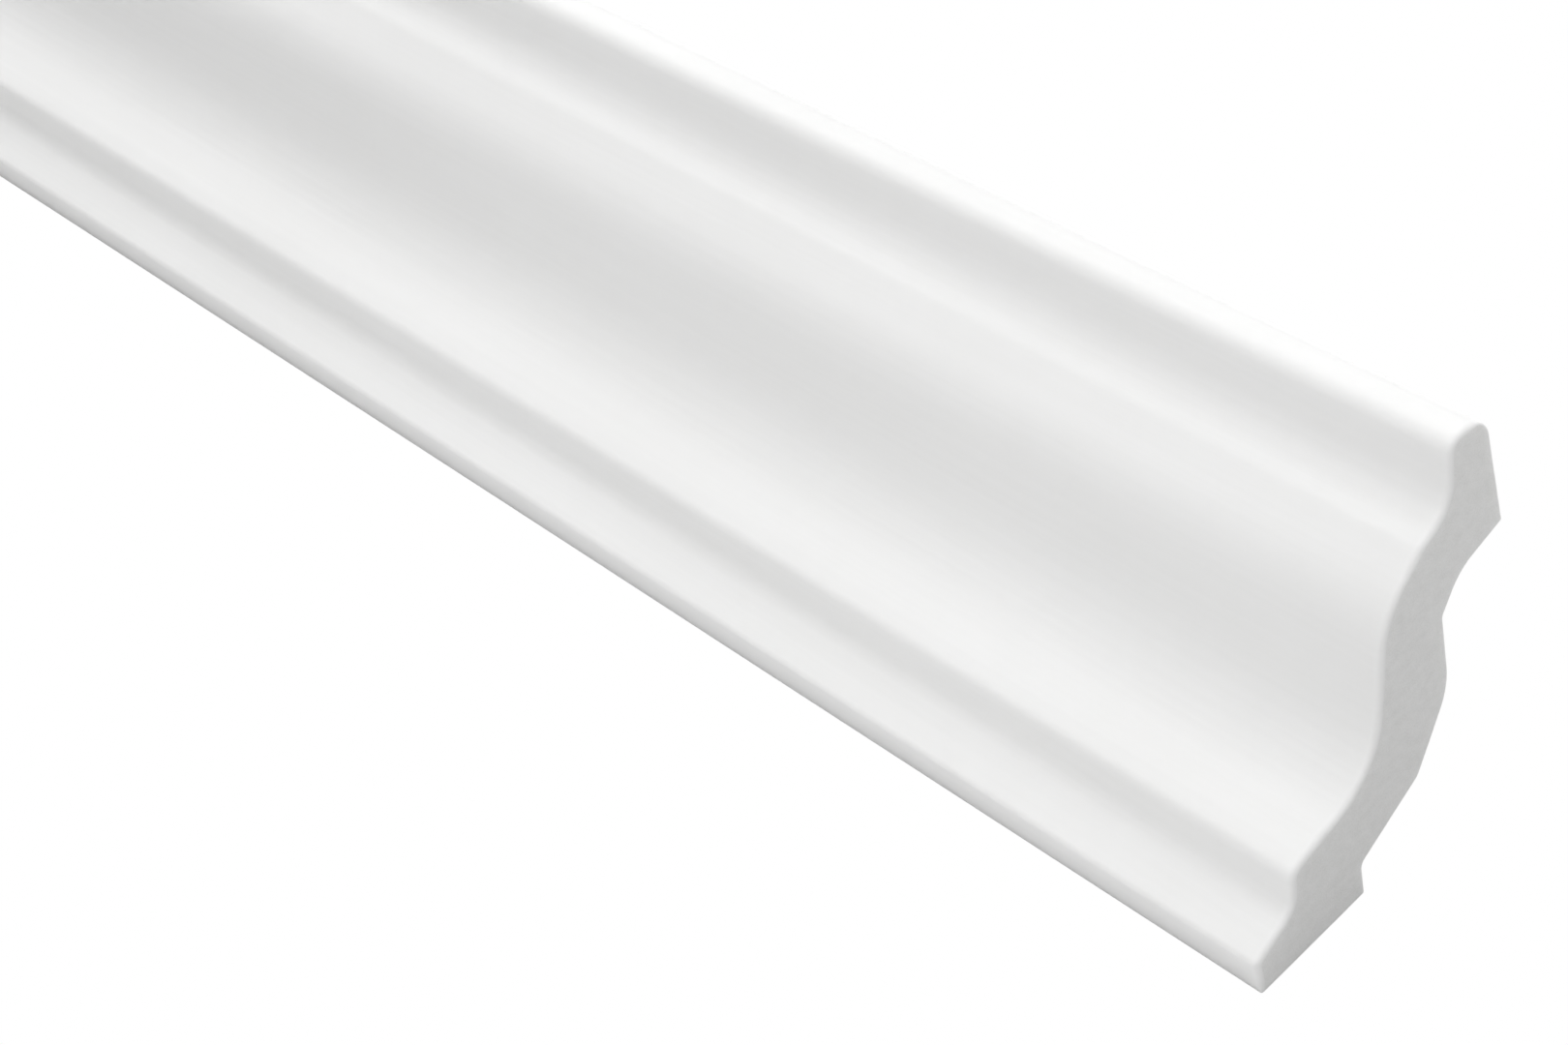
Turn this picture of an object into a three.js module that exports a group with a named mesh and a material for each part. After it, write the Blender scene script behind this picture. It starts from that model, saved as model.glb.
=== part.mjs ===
// Crown moulding length: one extruded foam section that covers the corner between a wall and a ceiling.
// Millimetres, +Z up. The wall is the plane y = 0 behind it, the room is on the -Y side,
// the length runs along X, and the origin is the middle of the strip that is glued to the wall.
import * as THREE from 'three';

// Driving dimensions
const mouldingLength = 1000;
const ceilingReach = 92;
const wallDrop = 85;

// Flat strips that are glued to the ceiling and to the wall
const ceilingStripWidth = 23.5;
const wallStripHeight = 31.4;
const stripEdgeRadius = 0.6;

// Lip, the round bead that meets the ceiling on the room side
const lipBrowRadius = 6.5;
const lipDepth = 10.9;
const lipNoseRadius = 3.8;

// Upper cove under the lip, down to the neck
const soffitRun = 15.1;
const soffitFall = 2.4;
const upperCoveRun = 3.1;
const upperCoveFall = 9.1;
const upperCoveRadius = 11;
const neckRadius = 6;

// Ovolo, the broad round under the neck
const ovoloRun = 9.6;
const ovoloFall = 13.1;
const ovoloRadius = 22;

// Foot, the edge that meets the wall
const footThickness = 9.2;
const footLift = 0.3;
const footNoseRadius = 1.8;

// Lower cove above the foot, up to the arris
const lowerCoveRun = 5.1;
const lowerCoveRise = 12.2;
const lowerCoveRadius = 6.5;
const filletRun = 9.3;
const filletRise = 1.6;
const arrisRadius = 3.2;

// Main cove, the deep hollow between the arris and the ovolo
const arrisBrowRun = 1.5;
const arrisBrowRise = 4.9;
const arrisBrowRadius = 13;
const mainCoveRun = 4;
const mainCoveRise = 21.7;
const mainCoveRadius = 21;

// Back of the web, measured from the corner of the room side that each of its corners lies behind
const ledgeWidth = 8.4;
const ledgeRise = 0.8;
const ledgeRadius = 2.3;
const backOfMainCoveRun = 12;
const backOfMainCoveRise = 10.6;
const backOfMainCoveRadius = 3.2;
const backSlopeRun = 15.8;
const backSlopeRise = 12.5;
const backSlopeRadius = 18;
const backOfOvoloRun = 12.2;
const backOfOvoloRise = 15.7;
const backOfOvoloRadius = 2.5;
const backOfNeckRun = 14.6;
const backOfNeckRise = 9.3;
const backOfNeckRadius = 12.4;

// Segments in each half of a rounded corner
const arcHalfSegments = 5;

// A corner of the section: how far it stands out from the wall, how far it lies below the ceiling,
// and the radius that rounds it
function corner(out, down, radius) {
  return { out, down, radius };
}

// Corners of the room side, from the ceiling to the ovolo
const lipBrow = corner(ceilingReach, 0, lipBrowRadius);
const lipNose = corner(ceilingReach, lipDepth, lipNoseRadius);
const upperCove = corner(lipNose.out - soffitRun, lipNose.down + soffitFall, upperCoveRadius);
const neck = corner(upperCove.out - upperCoveRun, upperCove.down + upperCoveFall, neckRadius);
const ovolo = corner(neck.out - ovoloRun, neck.down + ovoloFall, ovoloRadius);

// Corners of the room side, from the foot up to the main cove
const footHeel = corner(0, wallDrop, stripEdgeRadius);
const footNose = corner(footThickness, wallDrop - footLift, footNoseRadius);
const lowerCove = corner(footNose.out + lowerCoveRun, footNose.down - lowerCoveRise, lowerCoveRadius);
const arris = corner(lowerCove.out + filletRun, lowerCove.down - filletRise, arrisRadius);
const arrisBrow = corner(arris.out + arrisBrowRun, arris.down - arrisBrowRise, arrisBrowRadius);
const mainCove = corner(arrisBrow.out + mainCoveRun, arrisBrow.down - mainCoveRise, mainCoveRadius);

// Corners of the back, from the wall strip up to the ceiling strip
const wallStripTop = corner(0, wallDrop - wallStripHeight, stripEdgeRadius);
const ledge = corner(ledgeWidth, wallStripTop.down - ledgeRise, ledgeRadius);
const backOfMainCove = corner(
  mainCove.out - backOfMainCoveRun,
  mainCove.down - backOfMainCoveRise,
  backOfMainCoveRadius,
);
const backSlopeTop = corner(
  backOfMainCove.out + backSlopeRun,
  backOfMainCove.down - backSlopeRise,
  backSlopeRadius,
);
const backOfOvolo = corner(ovolo.out - backOfOvoloRun, ovolo.down - backOfOvoloRise, backOfOvoloRadius);
const backOfNeck = corner(neck.out - backOfNeckRun, neck.down - backOfNeckRise, backOfNeckRadius);
const ceilingStripBack = corner(ceilingReach - lipBrowRadius - ceilingStripWidth, 0, stripEdgeRadius);

const sectionCorners = [
  lipBrow,
  lipNose,
  upperCove,
  neck,
  ovolo,
  mainCove,
  arrisBrow,
  arris,
  lowerCove,
  footNose,
  footHeel,
  wallStripTop,
  ledge,
  backOfMainCove,
  backSlopeTop,
  backOfOvolo,
  backOfNeck,
  ceilingStripBack,
];

// The origin's depth below the ceiling: the middle of the wall strip
const originDrop = wallDrop - wallStripHeight / 2;

function sectionPoint({ out, down }) {
  return new THREE.Vector2(-out, originDrop - down);
}

// The arc that rounds the corner between two neighbours, tangent to both of its sides
function roundedCorner(before, here, after) {
  const point = sectionPoint(here);
  const towardsBefore = sectionPoint(before).sub(point).normalize();
  const towardsAfter = sectionPoint(after).sub(point).normalize();
  const halfAngle = Math.acos(towardsBefore.dot(towardsAfter)) / 2;
  const bisector = towardsBefore.clone().add(towardsAfter).normalize();
  const centre = point.clone().addScaledVector(bisector, here.radius / Math.sin(halfAngle));
  const tangentLength = here.radius / Math.tan(halfAngle);
  const start = point.clone().addScaledVector(towardsBefore, tangentLength).sub(centre);
  const end = point.clone().addScaledVector(towardsAfter, tangentLength).sub(centre);
  const clockwise = towardsBefore.cross(towardsAfter) > 0;
  return { centre, radius: here.radius, startAngle: start.angle(), endAngle: end.angle(), clockwise };
}

function sectionShape(corners) {
  const shape = new THREE.Shape();
  corners.forEach((here, index) => {
    const before = corners.at(index - 1);
    const after = corners[(index + 1) % corners.length];
    const arc = roundedCorner(before, here, after);
    shape.absarc(arc.centre.x, arc.centre.y, arc.radius, arc.startAngle, arc.endAngle, arc.clockwise);
  });
  return shape;
}

// Smooth white foam with a dull skin
const whiteFoam = new THREE.MeshStandardMaterial({ color: 0xf0f0ee, roughness: 0.8, metalness: 0 });

function crownMoulding() {
  const geometry = new THREE.ExtrudeGeometry(sectionShape(sectionCorners), {
    depth: mouldingLength,
    bevelEnabled: false,
    curveSegments: arcHalfSegments,
  });
  const mesh = new THREE.Mesh(geometry, whiteFoam);
  mesh.name = 'crown_moulding';
  // The section's sideways axis turns to Y, its upward axis to Z and its depth to X
  mesh.rotation.set(Math.PI / 2, Math.PI / 2, 0);
  mesh.position.x = -mouldingLength / 2;
  return mesh;
}

const mouldingPart = new THREE.Group();
mouldingPart.add(crownMoulding());

export default mouldingPart;
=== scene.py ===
"""A length of white foam crown moulding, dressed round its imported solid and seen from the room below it."""

import math

import bpy
from mathutils import Matrix, Vector, noise
from mathutils.geometry import delaunay_2d_cdt


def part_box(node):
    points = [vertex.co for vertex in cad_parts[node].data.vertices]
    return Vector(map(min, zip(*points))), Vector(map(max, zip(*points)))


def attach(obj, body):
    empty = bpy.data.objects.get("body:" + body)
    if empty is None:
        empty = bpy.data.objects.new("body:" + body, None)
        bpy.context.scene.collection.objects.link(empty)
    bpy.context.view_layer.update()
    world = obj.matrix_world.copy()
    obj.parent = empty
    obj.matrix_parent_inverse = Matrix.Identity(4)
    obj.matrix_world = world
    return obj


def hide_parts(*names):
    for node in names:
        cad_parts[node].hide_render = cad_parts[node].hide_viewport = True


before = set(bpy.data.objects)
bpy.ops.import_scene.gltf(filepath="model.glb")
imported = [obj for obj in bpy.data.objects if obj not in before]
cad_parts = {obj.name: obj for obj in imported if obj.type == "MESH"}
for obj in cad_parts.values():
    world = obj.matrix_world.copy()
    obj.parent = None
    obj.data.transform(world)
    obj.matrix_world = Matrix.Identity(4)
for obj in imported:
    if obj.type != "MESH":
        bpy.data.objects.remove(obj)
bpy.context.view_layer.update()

mm = 0.001
moulding_node = "crown_moulding"

# Mesh of the moulding, in metres
longest_outline_step = 1.1 * mm
ring_spacing = 9 * mm
cap_grid_step = 0.9 * mm
cap_grid_margin = 0.55 * mm

# The sawn ends: the edge to the moulded side is eased, the edge to the back is left almost sharp
eased_edge_radius = 1.3 * mm
back_edge_radius = 0.4 * mm
eased_from_angle = math.radians(148)
eased_to_angle = math.radians(285)
edge_blend_length = 2.2 * mm
edge_steps = 6
edge_unevenness = 0.16
edge_uneven_length = 5 * mm
left_edge_seed = 2.5
right_edge_seed = 7.5

# Relief that is big enough for the mesh
die_line_height = 0.016 * mm
die_line_spacing = 2.6 * mm
die_line_length = 570 * mm
die_line_seed = 4.5
sway_height = 0.05 * mm
sway_length = 95 * mm
sway_across = 22 * mm
sway_seed = 11.5
sawn_relief_height = 0.035 * mm
sawn_relief_length = 1.6 * mm

# Cards just behind the plane of the glued back, of which the black one is a narrow strip along the foot. The
# black strip is painted shade: a dark sheet that stands for the shadow the moulding would cast on a bench
# along its foot
card_gap = 0.5 * mm
shadow_card_width = 4 * mm
shadow_card_cover = 1.5 * mm
card_reach = 250 * mm
# Near-black of the strip along the foot: painted shade for the moulding's shadow on a bench
painted_shadow_grey = 0.05
grey_card_grey = 0.55
white_card_grey = 0.82
card_grey_variation = 0.03

# The floor lies below the lowest light
floor_half_width = 6.0
floor_height = -0.5

# The line through the moulding that the lights face
lit_out = -40 * mm
lit_up = 20 * mm

# The room's brightness as light, and where the camera looks into it
room_light = 0.31
room_seen = 1.0

# The camera stands in the room, below the moulding and past its right end
image_width = 1620
focal_length_px = 3429
sensor_width_mm = 36
camera_place = Vector((0.8220, -0.5361, -0.2602))
camera_azimuth = math.radians(43.252)
camera_elevation = math.radians(-20.83)
camera_roll = math.radians(49.502)
camera_nearest = 10 * mm


def smooth_step(share):
    return share * share * (3 - 2 * share)


# Mesh of the moulding


def end_outline(node):
    """The corners of the node's section, in order, as (y, z) vectors, taken from its right end."""
    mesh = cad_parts[node].data
    end = max(vertex.co.x for vertex in mesh.vertices)
    near = 0.01 * mm

    def spot(index):
        place = mesh.vertices[index].co
        return (round(place.y / near), round(place.z / near))

    places = {}
    uses = {}
    for face in mesh.polygons:
        if any(abs(mesh.vertices[index].co.x - end) > near for index in face.vertices):
            continue
        corners = [spot(index) for index in face.vertices]
        for index, corner in zip(face.vertices, corners):
            places[corner] = Vector((mesh.vertices[index].co.y, mesh.vertices[index].co.z))
        for start, stop in zip(corners, corners[1:] + corners[:1]):
            uses[(start, stop)] = uses.get((start, stop), 0) + 1
    following = {start: stop for start, stop in uses if (stop, start) not in uses}
    first = max(following)
    ordered = [first]
    while following[ordered[-1]] != first:
        ordered.append(following[ordered[-1]])
    return [places[corner] for corner in ordered]


def refined(outline, longest_step):
    """The same outline with its long sides divided."""
    points = []
    for start, stop in zip(outline, outline[1:] + outline[:1]):
        pieces = max(1, math.ceil((stop - start).length / longest_step))
        points.extend(start.lerp(stop, step / pieces) for step in range(pieces))
    return points


def outward_normals(outline):
    normals = []
    for before, after in zip(outline[-1:] + outline[:-1], outline[1:] + outline[:1]):
        along = (after - before).normalized()
        normals.append(Vector((along.y, -along.x)))
    return normals


def run_lengths(outline):
    """How far along the outline each point lies."""
    lengths = [0.0]
    for start, stop in zip(outline, outline[1:]):
        lengths.append(lengths[-1] + (stop - start).length)
    return lengths


def looks_to_room(normal):
    """Whether a stretch of the section is on the moulded side, from the lip to the underside of the foot."""
    turned = math.atan2(normal.y, normal.x) % math.tau
    return eased_from_angle < turned < eased_to_angle


def edge_radii(normals, lengths, seed):
    """The radius of the sawn edge at each outline point: eased on the moulded side, and a little uneven."""
    sides = [float(looks_to_room(normal)) for normal in normals]
    radii = []
    for here in lengths:
        weights = [max(0.0, 1 - abs(other - here) / edge_blend_length) for other in lengths]
        share = sum(w * side for w, side in zip(weights, sides)) / sum(weights)
        uneven = 1 + edge_unevenness * noise.noise(Vector((here / edge_uneven_length, seed, 0)))
        added = (eased_edge_radius - back_edge_radius) * smooth_step(share)
        radii.append(uneven * (back_edge_radius + added))
    return radii


def skin_relief(along, run):
    """Height of the skin above the plain section: die lines that run the whole length and a slow sway."""
    line = noise.noise(Vector((run / die_line_spacing, along / die_line_length, die_line_seed)))
    sway = noise.noise(Vector((run / sway_across, along / sway_length, sway_seed)))
    return die_line_height * line + sway_height * sway


def moulding_mesh(outline, length):
    """Rings of the section along the length, rounded over into two sawn faces."""
    normals = outward_normals(outline)
    lengths = run_lengths(outline)
    count = len(outline)
    half = length / 2
    vertices = []

    def add_ring(stations, insets):
        for point, normal, run, station, inset in zip(outline, normals, lengths, stations, insets):
            fade = min(1.0, (half - abs(station)) / ring_spacing)
            place = point + normal * (skin_relief(station, run) * fade - inset)
            vertices.append((station, place.x, place.y))

    def add_edge(side, seed, turns):
        radii = edge_radii(normals, lengths, seed)
        for turn in turns:
            stations = [side * (half - radius * (1 - math.sin(turn))) for radius in radii]
            insets = [radius * (1 - math.cos(turn)) for radius in radii]
            add_ring(stations, insets)

    quarter = [math.pi / 2 * step / edge_steps for step in range(edge_steps + 1)]
    add_edge(-1, left_edge_seed, quarter[::-1])
    rings = round(length / ring_spacing)
    for ring in range(1, rings):
        add_ring([half * (2 * ring / rings - 1)] * count, [0.0] * count)
    add_edge(1, right_edge_seed, quarter)

    total_rings = len(vertices) // count
    faces = []
    for ring in range(total_rings - 1):
        for point in range(count):
            after = (point + 1) % count
            faces.append(
                (
                    ring * count + point,
                    ring * count + after,
                    (ring + 1) * count + after,
                    (ring + 1) * count + point,
                )
            )
    skin_faces = len(faces)
    add_sawn_face(vertices, faces, 0, count, facing=-1)
    add_sawn_face(vertices, faces, (total_rings - 1) * count, count, facing=1)
    return vertices, faces, skin_faces


def add_sawn_face(vertices, faces, first, count, facing):
    """Fills the ring that starts at vertex first with a fine, slightly rough triangle mesh."""
    rim = [Vector(vertices[first + point][1:]) for point in range(count)]
    station = vertices[first][0]
    sides = list(zip(rim, rim[1:] + rim[:1]))

    def inside(spot):
        crossings = 0
        for start, stop in sides:
            if (start.y > spot.y) != (stop.y > spot.y):
                share = (spot.y - start.y) / (stop.y - start.y)
                crossings += spot.x < start.x + share * (stop.x - start.x)
        return crossings % 2 == 1

    def clear(spot):
        return all((point - spot).length > cap_grid_margin for point in rim)

    low_y = min(point.x for point in rim)
    high_y = max(point.x for point in rim)
    low_z = min(point.y for point in rim)
    high_z = max(point.y for point in rim)
    grid = []
    for row in range(int((high_z - low_z) / cap_grid_step) + 1):
        for column in range(int((high_y - low_y) / cap_grid_step) + 1):
            spot = Vector((low_y + (column + row % 2 / 2) * cap_grid_step, low_z + row * cap_grid_step))
            if inside(spot) and clear(spot):
                grid.append(spot)
    rim_edges = [(point, (point + 1) % count) for point in range(count)]
    spots, _, triangles, origins, _, _ = delaunay_2d_cdt(rim + grid, rim_edges, [], 1, 1e-7)
    numbers = []
    for spot, origin in zip(spots, origins):
        if origin and origin[0] < count:
            numbers.append(first + origin[0])
            continue
        rough = noise.noise(Vector((spot.x, spot.y, facing)) / sawn_relief_length)
        numbers.append(len(vertices))
        vertices.append((station + facing * sawn_relief_height * rough, spot.x, spot.y))
    for triangle in triangles:
        corners = [numbers[corner] for corner in triangle]
        a, b, c = (Vector(vertices[corner][1:]) for corner in corners)
        if (b - a).cross(c - a) * facing < 0:
            corners.reverse()
        faces.append(tuple(corners))


def make_moulding():
    outline = refined(end_outline(moulding_node), longest_outline_step)
    low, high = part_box(moulding_node)
    vertices, faces, skin_faces = moulding_mesh(outline, high.x - low.x)
    mesh = bpy.data.meshes.new("moulding")
    mesh.from_pydata(vertices, [], faces)
    mesh.update()
    mesh.shade_smooth()
    mesh.materials.append(foam_skin())
    mesh.materials.append(sawn_foam())
    for face in mesh.polygons[skin_faces:]:
        face.material_index = 1
    moulding = bpy.data.objects.new("moulding", mesh)
    bpy.context.scene.collection.objects.link(moulding)
    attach(moulding, "root")
    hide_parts(moulding_node)
    return moulding


# Finishes


class Number:
    """A number that changes over a surface. Arithmetic on it adds Math nodes to its finish."""

    def __init__(self, finish, socket):
        self.finish = finish
        self.socket = socket

    def maths(self, operation, *values):
        return self.finish.node("ShaderNodeMath", {"operation": operation}, dict(enumerate(values)))

    def __add__(self, other):
        return self.maths("ADD", self, other)

    def __sub__(self, other):
        return self.maths("SUBTRACT", self, other)

    def __rsub__(self, other):
        return self.maths("SUBTRACT", other, self)

    def __mul__(self, other):
        return self.maths("MULTIPLY", self, other)

    __radd__ = __add__
    __rmul__ = __mul__


class Finish:
    """A material whose nodes are written as plain expressions."""

    def __init__(self, name):
        self.material = bpy.data.materials.new(name)
        self.material.use_nodes = True
        self.nodes = self.material.node_tree.nodes
        self.links = self.material.node_tree.links
        self.shader = self.nodes["Principled BSDF"]

    def node(self, kind, settings, sockets, output=0):
        """Adds one node: first its settings, then the values and links of its sockets."""
        added = self.nodes.new(kind)
        for name, value in settings.items():
            setattr(added, name, value)
        for name, value in sockets.items():
            self.feed(added.inputs[name], value)
        return Number(self, added.outputs[output])

    def feed(self, socket, value):
        if isinstance(value, Number):
            self.links.new(value.socket, socket)
        else:
            socket.default_value = value

    def place(self, stretch=(1, 1, 1)):
        """The spot on the object, in metres, with each direction scaled."""
        here = self.node("ShaderNodeTexCoord", {}, {}, "Object")
        return self.node("ShaderNodeMapping", {}, {"Vector": here, "Scale": stretch})

    def noise(self, size, stretch=(1, 1, 1), detail=2.0, roughness=0.5):
        """Soft noise whose lumps are about size metres across, from 0 to 1."""
        sockets = {
            "Vector": self.place(stretch),
            "Scale": 1 / size,
            "Detail": detail,
            "Roughness": roughness,
        }
        return self.node("ShaderNodeTexNoise", {}, sockets, "Fac")

    def cells(self, size):
        """Distance from the middle of the nearest foam cell, from 0 to about 1."""
        return self.node("ShaderNodeTexVoronoi", {}, {"Vector": self.place(), "Scale": 1 / size}, "Distance")

    def span(self, value, low, high, to_low, to_high):
        sockets = {
            "Value": value,
            "From Min": low,
            "From Max": high,
            "To Min": to_low,
            "To Max": to_high,
        }
        return self.node("ShaderNodeMapRange", {"clamp": True}, sockets)

    def blend(self, factor, first, second):
        """One colour where factor is 0 and the other where it is 1."""
        sockets = {0: factor, 6: first, 7: second}
        return self.node("ShaderNodeMix", {"data_type": "RGBA"}, sockets, 2)

    def bump(self, height, distance):
        """Relief of the given height map, where 1 stands distance metres proud."""
        sockets = {"Height": height, "Distance": distance, "Strength": 1.0}
        return self.node("ShaderNodeBump", {}, sockets)

    def shade(self, sockets):
        """Sets the shader's own sockets and gives the finished material."""
        for name, value in sockets.items():
            self.feed(self.shader.inputs[name], value)
        return self.material


# Colours of the finishes, and how light scatters in the foam
foam_white = (0.915, 0.915, 0.910, 1)
foam_shade = (0.885, 0.885, 0.878, 1)
sawn_white = (0.90, 0.90, 0.893, 1)
sawn_pore = (0.80, 0.80, 0.79, 1)
floor_dark = (0.80, 0.80, 0.80, 1)
floor_light = (0.84, 0.84, 0.84, 1)
foam_scatter_depth = 1.2 * mm
foam_scatter = {
    "Subsurface Weight": 1.0,
    "Subsurface Scale": foam_scatter_depth,
    "Subsurface Radius": (1, 1, 1),
}


def foam_skin():
    """The smooth, dull skin that the die leaves: faint lines along the length over a fine pebble."""
    finish = Finish("foam_skin")
    lines = finish.noise(1.3 * mm, stretch=(0.012, 1, 1), detail=3)
    broad = finish.noise(38 * mm, stretch=(0.35, 1, 1), detail=2)
    pebble = finish.noise(0.55 * mm, detail=2)
    relief = lines * 0.45 + pebble * 0.35 + broad * 0.9
    tone = finish.span(lines * 0.35 + broad * 0.65, 0.35, 0.7, 0, 1)
    return finish.shade(
        {
            "Base Color": finish.blend(tone, foam_white, foam_shade),
            "Roughness": finish.span(pebble + lines, 0.6, 1.4, 0.56, 0.68),
            "Specular IOR Level": 0.35,
            **foam_scatter,
            "Normal": finish.bump(relief, 0.03 * mm),
        }
    )


def sawn_foam():
    """The open cells of a sawn end."""
    finish = Finish("sawn_foam")
    cells = finish.cells(0.42 * mm)
    mottle = finish.noise(2.4 * mm, detail=3, roughness=0.6)
    tone = finish.span(cells * 0.45 + mottle * 0.75, 0.3, 0.95, 0, 1)
    relief = mottle * 0.6 - cells * 0.6
    return finish.shade(
        {
            "Base Color": finish.blend(tone, sawn_white, sawn_pore),
            "Roughness": finish.span(mottle, 0.3, 0.7, 0.82, 0.94),
            "Specular IOR Level": 0.2,
            **foam_scatter,
            "Normal": finish.bump(relief, 0.06 * mm),
        }
    )


def pale_floor():
    finish = Finish("pale_floor")
    tone = finish.noise(0.6, detail=2)
    return finish.shade({"Base Color": finish.blend(tone, floor_dark, floor_light), "Roughness": 0.9})


def card(name, grey):
    """Matt card of an even grey, with a faint fibre."""
    finish = Finish(name)
    fibre = finish.noise(4 * mm, detail=2)
    light = grey * (1 + card_grey_variation)
    dark = grey * (1 - card_grey_variation)
    tint = finish.blend(fibre, (light, light, light, 1), (dark, dark, dark, 1))
    return finish.shade({"Base Color": tint, "Roughness": 0.95})


# Studio


def make_floor():
    signs = ((-1, -1), (1, -1), (1, 1), (-1, 1))
    corners = [(floor_half_width * x, floor_half_width * y, floor_height) for x, y in signs]
    mesh = bpy.data.meshes.new("floor")
    mesh.from_pydata(corners, [], [(0, 1, 2, 3)])
    mesh.materials.append(pale_floor())
    floor = bpy.data.objects.new("floor", mesh)
    bpy.context.scene.collection.objects.link(floor)


def flat_card(name, left, right, bottom, top, finish):
    """A card just behind the plane of the glued back, which reflects or takes away light. The camera doesn't
    see it."""
    corners = [(left, bottom), (right, bottom), (right, top), (left, top)]
    mesh = bpy.data.meshes.new(name)
    mesh.from_pydata([(x, card_gap, z) for x, z in corners], [], [(0, 1, 2, 3)])
    mesh.materials.append(finish)
    sheet = bpy.data.objects.new(name, mesh)
    sheet.visible_camera = False
    bpy.context.scene.collection.objects.link(sheet)


def make_cards():
    """A narrow black strip along the foot, which is painted shade standing for the moulding's shadow on a
    bench, a white card below it and a grey one past the right end.
    """
    low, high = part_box(moulding_node)
    left = low.x - card_reach
    right = high.x + card_reach
    shadow_card_edge = low.z - shadow_card_width
    painted_shadow = card("painted_shadow_card", painted_shadow_grey)
    white = card("white_card", white_card_grey)
    grey = card("grey_card", grey_card_grey)
    # The black strip is painted shade: it stands for the shadow the moulding would cast on a bench along its
    # foot
    flat_card("painted_shadow_card", left, high.x, shadow_card_edge, low.z + shadow_card_cover, painted_shadow)
    flat_card("white_card", left, right, low.z - card_reach, shadow_card_edge, white)
    flat_card("grey_card", high.x, right, shadow_card_edge, high.z + card_reach, grey)


def camera_axes():
    """The camera's right, up and back directions, from its azimuth, elevation and roll."""
    back = Vector(
        (
            math.sin(camera_azimuth) * math.cos(camera_elevation),
            -math.cos(camera_azimuth) * math.cos(camera_elevation),
            math.sin(camera_elevation),
        )
    )
    level_right = Vector((math.cos(camera_azimuth), math.sin(camera_azimuth), 0))
    level_up = back.cross(level_right)
    right = level_right * math.cos(camera_roll) + level_up * math.sin(camera_roll)
    return right, back.cross(right), back


def make_camera():
    data = bpy.data.cameras.new("camera")
    data.sensor_width = sensor_width_mm
    data.lens = focal_length_px / image_width * sensor_width_mm
    data.clip_start = camera_nearest
    camera = bpy.data.objects.new("camera", data)
    axes = Matrix(camera_axes()).transposed().to_4x4()
    camera.matrix_world = Matrix.Translation(camera_place) @ axes
    bpy.context.scene.collection.objects.link(camera)
    bpy.context.scene.camera = camera


def light_panel(name, centre, behind, size, brightness):
    """An evenly bright square. The behind direction points away from what it lights."""
    data = bpy.data.lights.new(name, "AREA")
    data.shape = "SQUARE"
    data.size = size
    data.energy = math.pi * size * size * brightness
    light = bpy.data.objects.new(name, data)
    light.location = centre
    light.rotation_mode = "QUATERNION"
    light.rotation_quaternion = behind.to_track_quat("Z", "Y")
    light.visible_camera = False
    bpy.context.scene.collection.objects.link(light)


def across(turn, lean=0.0):
    """A direction turned about the length, which may also lean along it. 90 degrees is straight up, 180
    straight out into the room and 270 straight down."""
    turn = math.radians(turn)
    return Vector((lean, math.cos(turn), math.sin(turn)))


def soft_box(name, direction, brightness, aim=0.3, distance=1.3, size=0.5):
    """A square light that faces the moulding at the station named aim."""
    middle = Vector((aim, lit_out, lit_up))
    towards = direction.normalized()
    light_panel(name, middle + towards * distance, towards, size, brightness)


def make_lights():
    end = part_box(moulding_node)[1].x
    soft_box("light_from_the_front", across(170), 4.8)
    soft_box("light_from_above", across(125), 3.0)
    soft_box("light_near_the_middle", across(155), 3.8, aim=-0.1, distance=0.5, size=0.3)
    soft_box("light_near_the_end", across(155), 1.5, aim=end, distance=0.5, size=0.3)
    soft_box("light_under_the_end", across(225), 1.8, aim=end, distance=0.5, size=0.3)
    soft_box("light_past_the_end", Vector((1, -0.6, 0.6)), 2.2, aim=end, distance=0.25, size=0.12)
    soft_box("light_from_behind", across(57, lean=-0.5), 4.0, aim=0.0, size=1.0)


def make_sky():
    """A white room: white where the camera looks into it, softer as light."""
    world = bpy.data.worlds.new("white_room")
    bpy.context.scene.world = world
    world.use_nodes = True
    nodes = world.node_tree.nodes
    links = world.node_tree.links
    light = nodes["Background"]
    light.inputs["Color"].default_value = (1, 1, 1, 1)
    light.inputs["Strength"].default_value = room_light
    seen = nodes.new("ShaderNodeBackground")
    seen.inputs["Color"].default_value = (1, 1, 1, 1)
    seen.inputs["Strength"].default_value = room_seen
    path = nodes.new("ShaderNodeLightPath")
    mix = nodes.new("ShaderNodeMixShader")
    links.new(path.outputs["Is Camera Ray"], mix.inputs[0])
    links.new(light.outputs[0], mix.inputs[1])
    links.new(seen.outputs[0], mix.inputs[2])
    links.new(mix.outputs[0], nodes["World Output"].inputs["Surface"])


make_camera()
make_moulding()
make_floor()
make_cards()
make_sky()
make_lights()
bpy.context.scene.view_settings.view_transform = "Standard"
